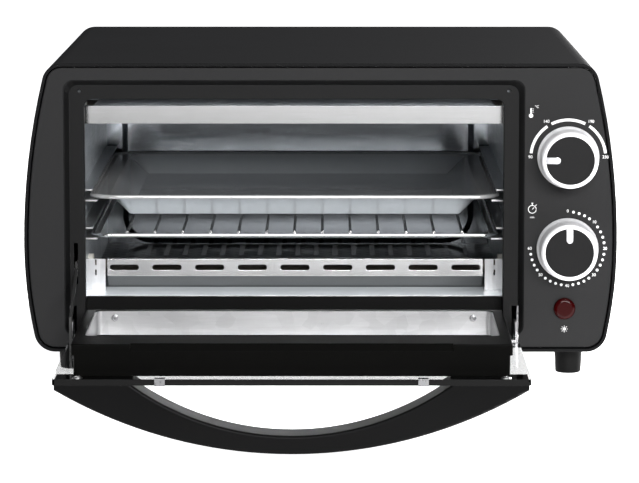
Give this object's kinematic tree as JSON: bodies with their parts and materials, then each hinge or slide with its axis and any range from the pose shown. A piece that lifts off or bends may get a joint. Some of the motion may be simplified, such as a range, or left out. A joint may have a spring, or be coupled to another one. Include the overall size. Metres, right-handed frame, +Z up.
{
  "type": "toaster oven",
  "caption": "Small countertop oven with a drop-down glass door, crescent handle, wire rack, baking pan and a column of turning controls.",
  "frame": {"origin": "on the plane the feet stand on, at the middle of the body's width and depth", "axes": "+X to the right as the user faces the door, +Y back into the oven, +Z up; the stored pose has the door open level"},
  "size_m": [0.365, 0.4696, 0.214],
  "materials": {
    "shell_black": "fine satin paint",
    "panel_black": "satin paint",
    "base_galvanised": "galvanised sheet",
    "liner_galvanised": "galvanised sheet",
    "guard_aluminised": "bright aluminised sheet",
    "bracket_steel": "plain sheet",
    "heater_sheath": "oxidised tube",
    "ceramic_white": "unglazed ceramic",
    "rail_steel": "galvanised sheet",
    "rack_chrome": "bright plated wire",
    "pan_steel": "smooth bright sheet",
    "sill_black": "satin paint",
    "door_glass": "clear toughened glass",
    "door_black": "satin paint",
    "edge_black": "gloss strip",
    "window_steel": "galvanised sheet",
    "hinge_steel": "plated sheet",
    "check_black": "dark plated steel",
    "handle_black": "fine satin",
    "screw_plated": "bright plated",
    "knob_silver": "satin silver plating",
    "knob_black": "black spun disc",
    "pointer_silver": "bright bar",
    "shaft_plastic": "moulded",
    "control_steel": "plated case",
    "lens_red": "clear dark red",
    "lamp_glass": "small glass bulb",
    "block_plastic": "moulded",
    "foot_rubber": "matt moulded",
    "gland_plastic": "moulded"
  },
  "bodies": {
    "cabinet": {"outer_shell": "shell_black", "base_plate": "base_galvanised", "feet": "foot_rubber", "foot_screws": "screw_plated", "rear_panel": "shell_black", "rear_screws": "screw_plated", "cord_gland": "gland_plastic", "front_panel": "panel_black", "liner_left": "liner_galvanised", "liner_right": "liner_galvanised", "liner_roof": "liner_galvanised", "liner_floor": "liner_galvanised", "liner_back": "liner_galvanised", "sill": "sill_black", "upper_heater_guard": "guard_aluminised", "lower_heater_guard": "guard_aluminised", "guard_brackets": "bracket_steel", "lower_heater": "heater_sheath", "upper_heater": "heater_sheath", "heater_insulators": "ceramic_white", "guide_rails_left": "rail_steel", "guide_rails_right": "rail_steel", "hinge_bracket_left": "hinge_steel", "hinge_bracket_right": "hinge_steel", "hinge_pins": "hinge_steel", "heat_shield": "bracket_steel", "thermostat": "control_steel", "timer": "control_steel", "indicator_lens": "lens_red", "neon_lamp": "lamp_glass", "terminal_block": "block_plastic"},
    "door": {"door_glass": "door_glass", "edge_trim": "edge_black", "trim_clips": "hinge_steel", "door_frame": "door_black", "window_liner": "window_steel", "liner_rivets": "screw_plated", "handle": "handle_black", "handle_screws": "screw_plated", "hinge_arm_left": "hinge_steel", "hinge_arm_right": "hinge_steel", "check_arm": "check_black"},
    "thermostat_control": {"thermostat_knob": "knob_silver", "thermostat_knob_face": "knob_black", "thermostat_knob_pointer": "pointer_silver", "thermostat_shaft": "shaft_plastic"},
    "timer_control": {"timer_knob": "knob_silver", "timer_knob_face": "knob_black", "timer_knob_pointer": "pointer_silver", "timer_shaft": "shaft_plastic"},
    "rack": {"wire_rack": "rack_chrome"},
    "pan": {"baking_pan": "pan_steel"}
  },
  "joints": [
    {"name": "door_hinge", "type": "hinge", "parent": "cabinet", "child": "door", "pos_m": [-0.0163, -0.155, 0.0249], "axis": [-1, 0, 0], "range_deg": [0, 90]},
    {"name": "thermostat_turn", "type": "hinge", "parent": "cabinet", "child": "thermostat_control", "pos_m": [0.152, -0.159, 0.1369], "axis": [0, 1, 0], "range_deg": [0, 180]},
    {"name": "timer_turn", "type": "hinge", "parent": "cabinet", "child": "timer_control", "pos_m": [0.152, -0.159, 0.0803], "axis": [0, 1, 0], "range_deg": [0, 270]},
    {"name": "rack_slide", "type": "slide", "parent": "cabinet", "child": "rack", "axis": [0, 1, 0], "range_m": [-0.16, 0]},
    {"name": "pan_slide", "type": "slide", "parent": "cabinet", "child": "pan", "axis": [0, 1, 0], "range_m": [-0.16, 0]}
  ]
}
